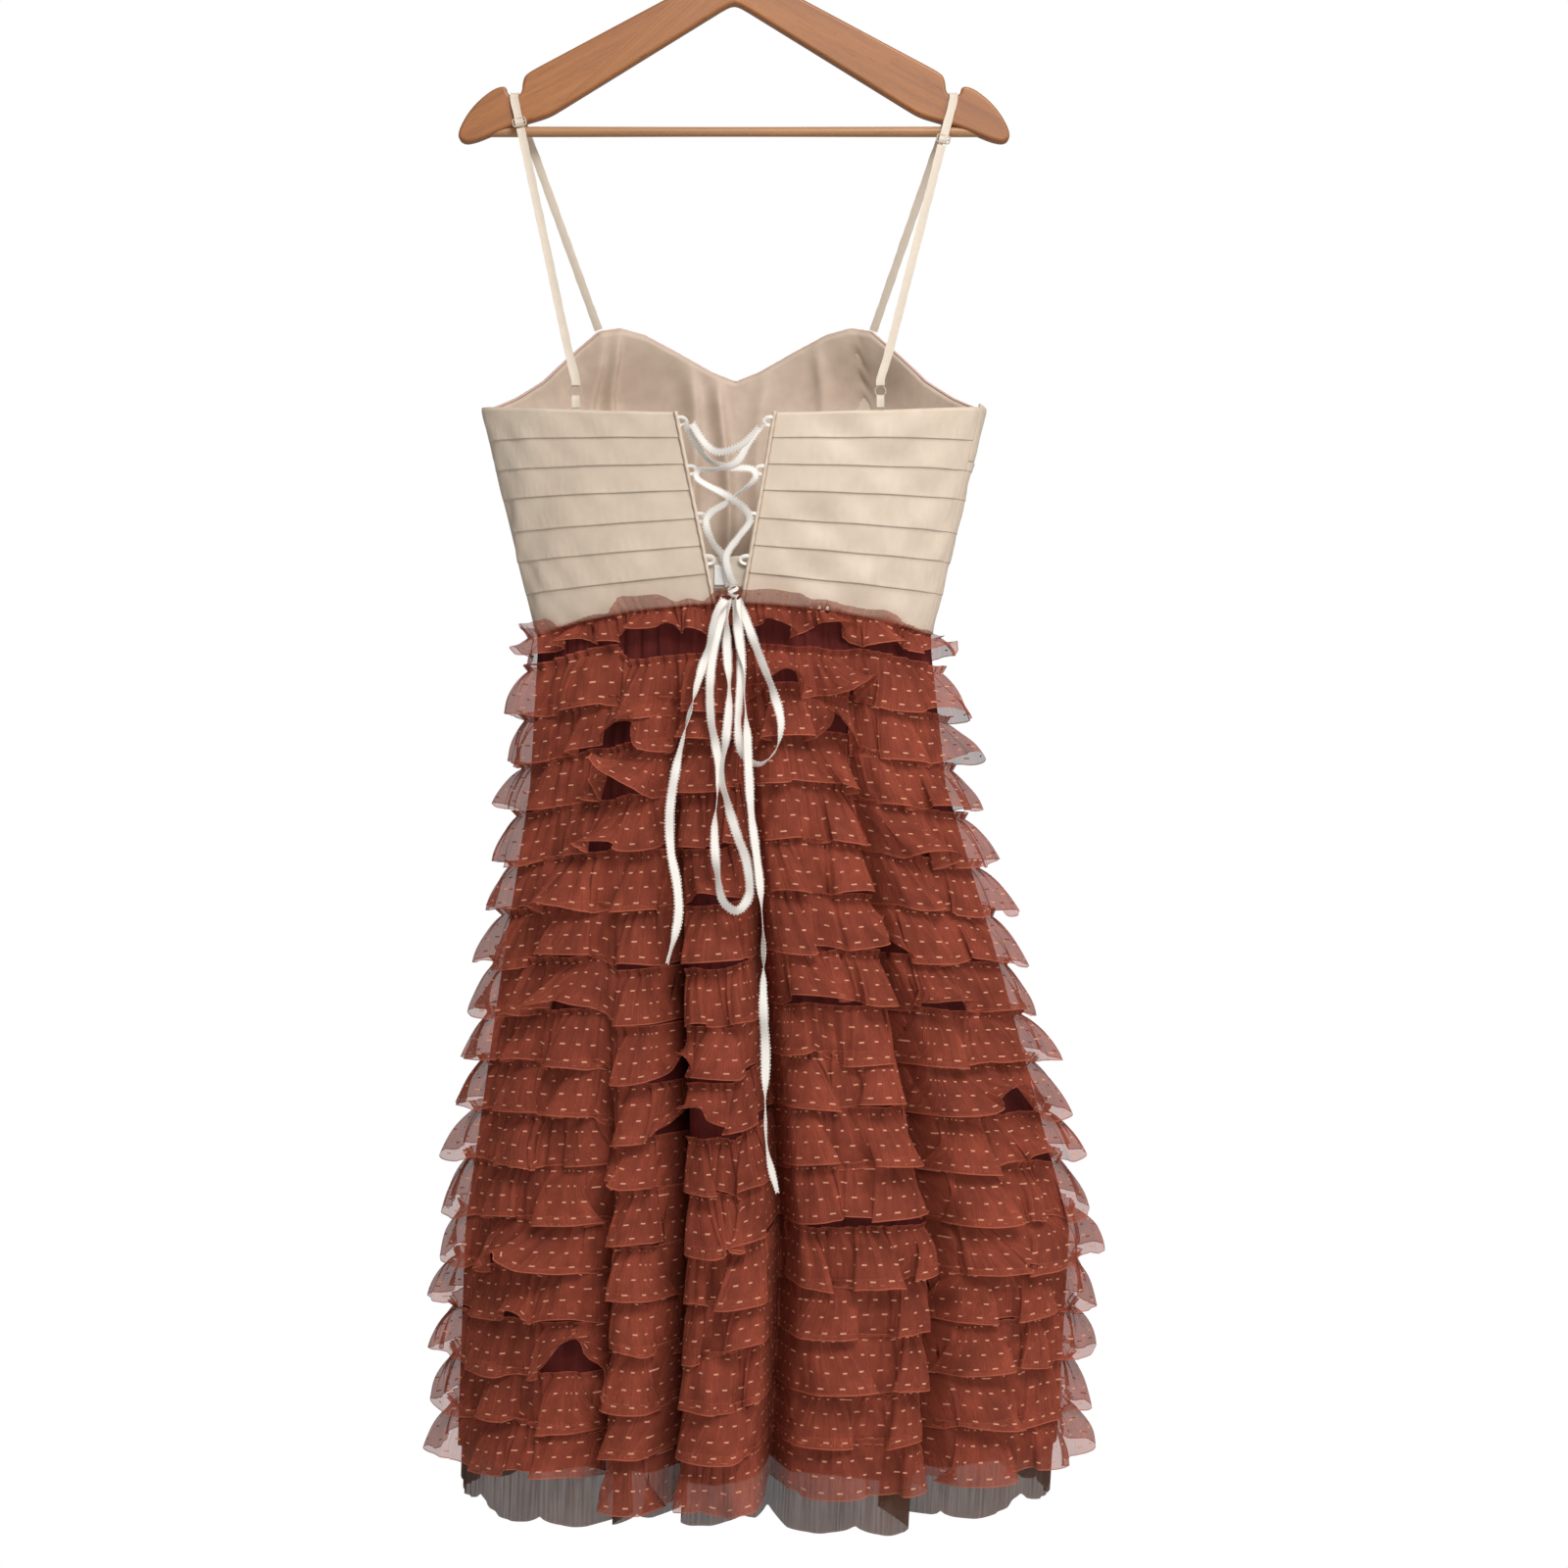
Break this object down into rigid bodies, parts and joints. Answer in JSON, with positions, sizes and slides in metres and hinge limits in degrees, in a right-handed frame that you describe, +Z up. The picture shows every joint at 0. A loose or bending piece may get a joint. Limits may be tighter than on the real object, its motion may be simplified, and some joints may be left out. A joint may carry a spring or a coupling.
{
  "type": "corset dress on a clothes hanger",
  "caption": "Corset dress with a tucked satin bodice laced at the back and a tiered tulle ruffle skirt, hung by its straps on a wooden hanger.",
  "frame": {"origin": "inside of the hanger hook's crown, where a rail bears", "axes": "+Z up, -Y out of the laced back of the dress, +X to the right of someone who looks at the back"},
  "size_m": [0.5399, 0.2931, 1.3116],
  "materials": {
    "satin": "soft champagne satin",
    "lining": "soft satin lining",
    "rust_tulle": "sheer rust tulle with small woven dashes",
    "plum_cloth": "matt plum net",
    "grey_net": "sheer grey brown net",
    "ivory_ribbon": "picot edged ribbon",
    "wood": "satin varnish",
    "hook_steel": "plated wire",
    "strap_fitting": "nylon coated"
  },
  "bodies": {
    "root": {"back_left": "satin", "back_right": "satin", "bow_knot": "ivory_ribbon", "bow_loop_long": "ivory_ribbon", "bow_loop_short": "ivory_ribbon", "cup_left": "satin", "cup_right": "satin", "front_lining": "lining", "front_midriff": "satin", "hanger_arms": "wood", "hanger_crossbar": "wood", "hanger_hook": "hook_steel", "label": "ivory_ribbon", "lacing_edge_left": "satin", "lacing_edge_right": "satin", "lacing_left": "ivory_ribbon", "lacing_right": "ivory_ribbon", "lacing_top": "ivory_ribbon", "ribbon_end_left": "ivory_ribbon", "ribbon_end_right": "ivory_ribbon", "ring_left": "strap_fitting", "ring_right": "strap_fitting", "ring_tab_left": "satin", "ring_tab_right": "satin", "ruffle_01": "rust_tulle", "ruffle_02": "rust_tulle", "ruffle_03": "rust_tulle", "ruffle_04": "rust_tulle", "ruffle_05": "rust_tulle", "ruffle_06": "rust_tulle", "ruffle_07": "rust_tulle", "ruffle_08": "rust_tulle", "ruffle_09": "rust_tulle", "ruffle_10": "rust_tulle", "ruffle_11": "rust_tulle", "ruffle_12": "rust_tulle", "ruffle_13": "rust_tulle", "ruffle_14": "rust_tulle", "ruffle_15": "rust_tulle", "ruffle_16": "rust_tulle", "skirt_net": "grey_net", "skirt_plum": "plum_cloth", "slider_left": "strap_fitting", "slider_right": "strap_fitting", "strap_back_left": "satin", "strap_back_right": "satin", "strap_front_left": "satin", "strap_front_right": "satin", "waist_frill": "rust_tulle", "waist_stay": "ivory_ribbon"}
  },
  "joints": []
}
